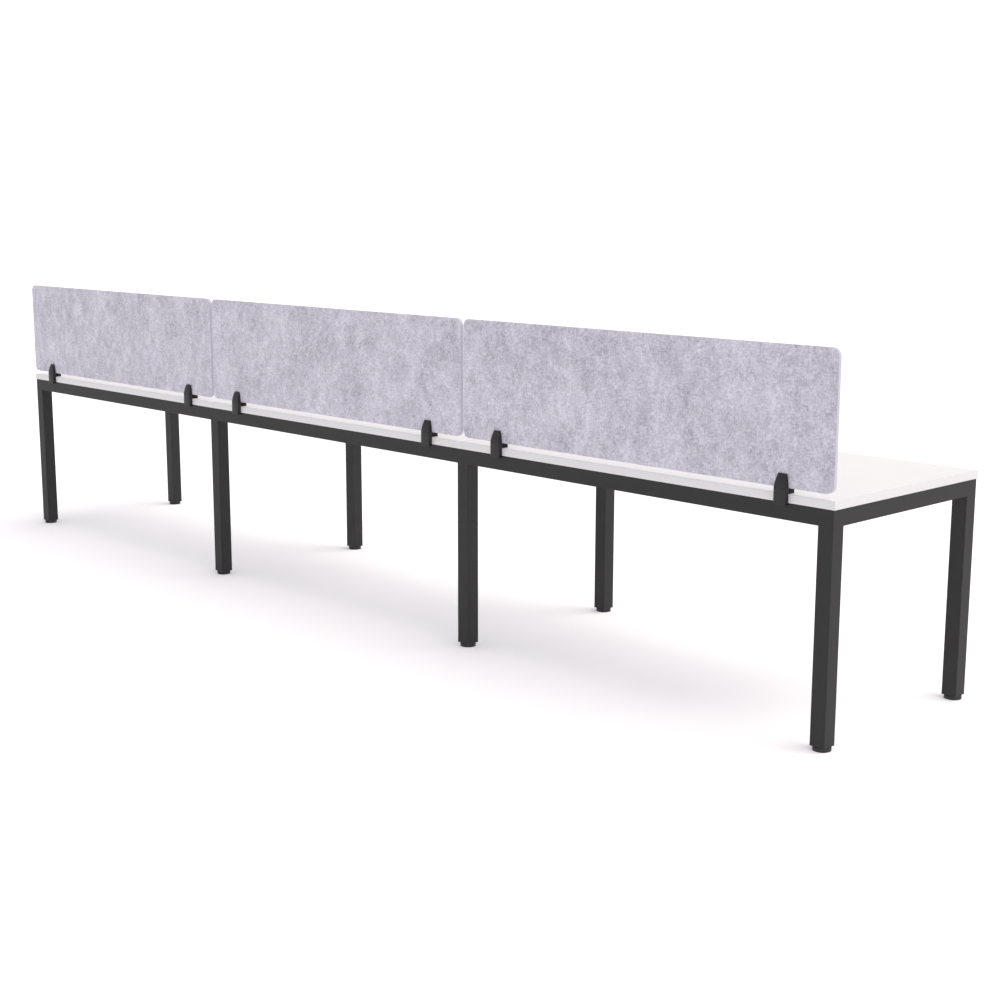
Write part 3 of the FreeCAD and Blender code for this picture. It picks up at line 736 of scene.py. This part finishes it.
seat = drum(
    "seat",
    (bracket_middle, screen_high.y, screw_z),
    seat_radius,
    2 * seat_depth,
    corners=48,
    axis="Y",
)
hole = drum(
    "hole",
    (bracket_middle, screen_high.y + 2 * cheek_base, screw_z),
    bore_radius,
    4 * cheek_base,
    corners=32,
    axis="Y",
)
for cutter in (seat, hole):
    deselect()
    bracket.select_set(True)
    bpy.context.view_layer.objects.active = bracket
    cut = bracket.modifiers.new("cut", "BOOLEAN")
    cut.object = cutter
    cut.operation = "DIFFERENCE"
    cut.solver = "EXACT"
    bpy.ops.object.modifier_apply(modifier=cut.name)
    bpy.data.objects.remove(cutter)
# The cast edges are rounded, but not those of the bores.
bore_middle = Vector((bracket_middle, 0, screw_z))
edit(bracket)
pick(
    "EDGE",
    lambda m, e: e.calc_face_angle(0) > math.radians(30)
    and Vector((m.x - bore_middle.x, 0, m.z - bore_middle.z)).length > seat_radius + 0.5 * MM,
)
bpy.ops.mesh.bevel(offset=cast_edge, offset_type="OFFSET", segments=3, profile=0.5)
close()
bpy.ops.object.shade_smooth_by_angle(angle=math.radians(40))
give(bracket, cast_black)
bracket.data.materials.append(shade_painted_lining)
# A near-black rubber sheet lines the saddle and the foot of the inner cheek, up to the underside of
# the screen. Its darkness is painted shade for the shadow that the screen casts there.
for face in bracket.data.polygons:
    in_screen_shadow = board_top < face.center.z < screen_low.z + 1e-5
    face.material_index = int(in_screen_shadow and face.center.y > screen_low.y + 1e-5)
for number in range(1, 7):
    node = "screen_bracket_%d" % number
    low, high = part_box(node)
    step = (low.x + high.x) / 2 - bracket_middle
    made = copy_to(bracket, "clamp_bracket_%d" % number, (step, 0, 0))
    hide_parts(node)
    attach(made, "bench")
bpy.data.objects.remove(bracket)


# ---- Clamp screws and pads ----------------------------------------------------------------------
# A fluted nylon knob moulded on an M6 screw that runs through the inner cheek, and a rubber pad that
# swivels on the screw's tip and presses the screen against the outer cheek.

knob_plastic = moulded("black nylon", ("1B1B1C", "242425"), 0.7, 0.42)
pad_rubber = moulded("black nitrile rubber", ("161616", "1D1D1D"), 0.6, 0.75, 0.05)
knob_length = 11 * MM
knob_radius = 11 * MM
knob_edge = 0.25 * MM
face_rim = 2.6 * MM
face_depth = 1.2 * MM
boss_rim = 3.2 * MM
boss_height = 0.7 * MM
collar_rim = 3 * MM
collar_height = 1.0 * MM
flutes = 18
flute_share = 0.2
flute_depth = 0.9 * MM
shaft_radius = 3 * MM
shaft_pitch = 1.0 * MM
pad_rim = 3.2 * MM
pad_edge = 0.4 * MM
knob_y = screw_high.y - knob_length / 2
knob = drum(
    "knob_master",
    (bracket_middle, knob_y, screw_z),
    knob_radius,
    knob_length,
    corners=flutes * 6,
    axis="Y",
)
edit(knob)
pick("FACE", lambda m, f: f.normal.y > 0.9)
bpy.ops.mesh.inset(thickness=face_rim)
extrude((0, -face_depth, 0))
bpy.ops.mesh.inset(thickness=boss_rim)
extrude((0, boss_height, 0))
pick("FACE", lambda m, f: f.normal.y < -0.9)
bpy.ops.mesh.inset(thickness=collar_rim)
extrude((0, -collar_height, 0))


def in_flute(middle, face):
    """Whether a side face lies in one of the scallops round the knob."""
    from_axis = (middle - Vector((bracket_middle, middle.y, screw_z))).length
    if abs(face.normal.y) > 0.5 or from_axis <= 10 * MM:
        return False
    angle = math.atan2(middle.z - screw_z, middle.x - bracket_middle) / math.tau * flutes
    return abs(angle - round(angle)) < flute_share


pick("FACE", in_flute)
bpy.ops.mesh.extrude_region_shrink_fatten(
    TRANSFORM_OT_shrink_fatten={"value": -flute_depth, "use_even_offset": True}
)
close()
soften(knob, knob_edge, segments=2)
give(knob, knob_plastic)
shaft = threaded_rod(
    "shaft_master",
    (bracket_middle, pad_high.y, screw_z),
    0,
    screw_high.y - knob_length - pad_high.y,
    shaft_radius,
    shaft_pitch,
    axis="Y",
)
give(shaft, zinc)
knob = join("knob_master", [knob, shaft])
pad = drum(
    "pad_master",
    (bracket_middle, (pad_low.y + pad_high.y) / 2, screw_z),
    (pad_high.x - pad_low.x) / 2,
    pad_high.y - pad_low.y,
    corners=48,
    axis="Y",
)
edit(pad)
pick("FACE", lambda m, f: f.normal.y > 0.9)
bpy.ops.mesh.inset(thickness=pad_rim)
close()
soften(pad, pad_edge, segments=2)
give(pad, pad_rubber)
for number in range(1, 7):
    low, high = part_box("screen_bracket_%d" % number)
    step = (low.x + high.x) / 2 - bracket_middle
    made = copy_to(knob, "clamp_knob_%d" % number, (step, 0, 0))
    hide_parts("clamp_screw_%d" % number)
    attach(made, "screw_%d" % number)
    made = copy_to(pad, "pressure_pad_%d" % number, (step, 0, 0))
    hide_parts("clamp_pad_%d" % number)
    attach(made, "pad_%d" % number)
bpy.data.objects.remove(knob)
bpy.data.objects.remove(pad)


# ---- Fixings ------------------------------------------------------------------------------------
# Pressed steel angles and screws under the worktops: black corner angles between rails and legs,
# and bright zinc plates and screws that hold the boards down.

for name, material, slot in (
    ("corner_brackets", black_coat, "fixing_black"),
    ("corner_bolts", zinc, "zinc_steel"),
    ("top_plates", zinc, "zinc_steel"),
    ("top_plate_screws", zinc, "zinc_steel"),
    ("saddle_screws", zinc, "zinc_steel"),
):
    give(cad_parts[name], material)
